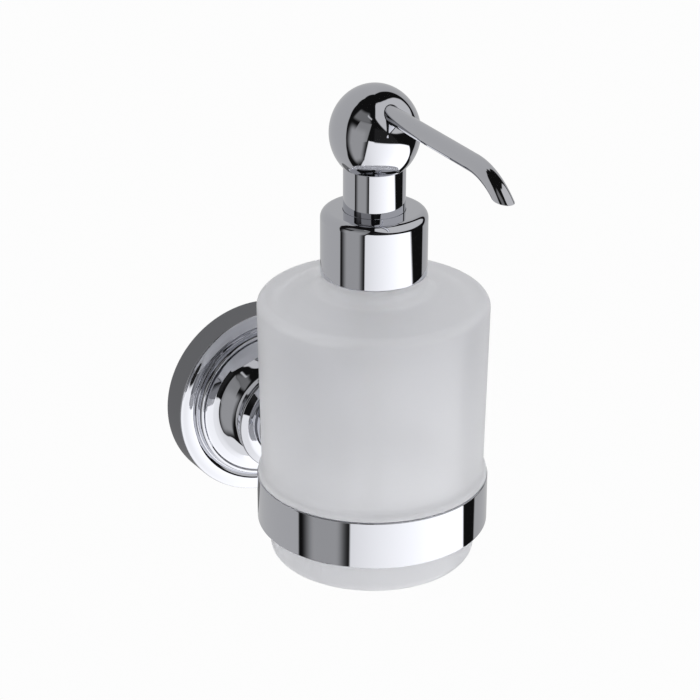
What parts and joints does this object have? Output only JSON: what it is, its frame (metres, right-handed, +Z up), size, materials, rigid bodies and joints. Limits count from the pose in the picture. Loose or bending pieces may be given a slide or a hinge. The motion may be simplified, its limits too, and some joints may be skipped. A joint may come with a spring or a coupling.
{
  "type": "wall mounted soap dispenser",
  "caption": "Satin glass soap bottle with a chrome ball-head push pump and spout, standing in a chrome ring on a post and stepped round wall rosette.",
  "frame": {"origin": "centre of the wall plate's back face, in the plane of the wall", "axes": "+Z up, +Y into the wall, so the post, ring and spout stand out towards -Y; +X to the right as seen from the room"},
  "size_m": [0.071, 0.1761, 0.1636],
  "materials": {
    "chrome": "polished chrome plate",
    "steel": "zinc plated steel",
    "satin_glass": "acid etched satin glass",
    "white_plastic": "moulded polypropylene",
    "clear_plastic": "translucent polyethylene",
    "seal": "soft seal rubber"
  },
  "bodies": {
    "wall_bracket": {"wall_plate": "steel", "wall_screw_upper": "steel", "wall_screw_lower": "steel", "rosette": "chrome", "rosette_grub_screw": "steel", "post": "chrome", "post_washer": "steel", "post_screw": "steel", "holder_ring": "chrome", "ring_screw": "steel"},
    "bottle": {"glass_bottle": "satin_glass"},
    "pump": {"pump_housing": "white_plastic", "neck_gasket": "seal", "stem_guide": "white_plastic", "dip_tube": "clear_plastic", "pump_spring": "steel"},
    "valve": {"inlet_ball": "steel"},
    "closure": {"collar": "chrome", "collar_insert": "white_plastic"},
    "plunger": {"piston_stem": "white_plastic", "piston": "white_plastic"},
    "head": {"ball_head": "chrome", "neck_sleeve": "chrome", "head_insert": "white_plastic", "spout_tube": "chrome"}
  },
  "joints": [
    {"name": "bottle_lift", "type": "slide", "parent": "wall_bracket", "child": "bottle", "axis": [0, 0, 1], "range_m": [0, 0.03]},
    {"name": "pump_rise", "type": "slide", "parent": "bottle", "child": "pump", "axis": [0, 0, 1], "range_m": [0, 0.0064]},
    {"name": "collar_turn", "type": "hinge", "parent": "pump", "child": "closure", "pos_m": [0, -0.0826, 0.0835], "axis": [0, 0, 1], "range_deg": [0, 540]},
    {"name": "pump_press", "type": "slide", "parent": "pump", "child": "plunger", "axis": [0, 0, -1], "range_m": [0, 0.01], "stiffness_N_per_m": 300, "springref_m": -0.012, "deforming": ["pump_spring"]},
    {"name": "head_swivel", "type": "hinge", "parent": "plunger", "child": "head", "pos_m": [0, -0.0826, 0.1], "axis": [0, 0, 1], "continuous": true},
    {"name": "inlet_ball_lift", "type": "slide", "parent": "pump", "child": "valve", "axis": [0, 0, 1], "range_m": [0, 0.0012]}
  ],
  "couplings": [
    {"joint": "pump_rise", "follows": "collar_turn", "m_per_rad": 0.00067323}
  ]
}
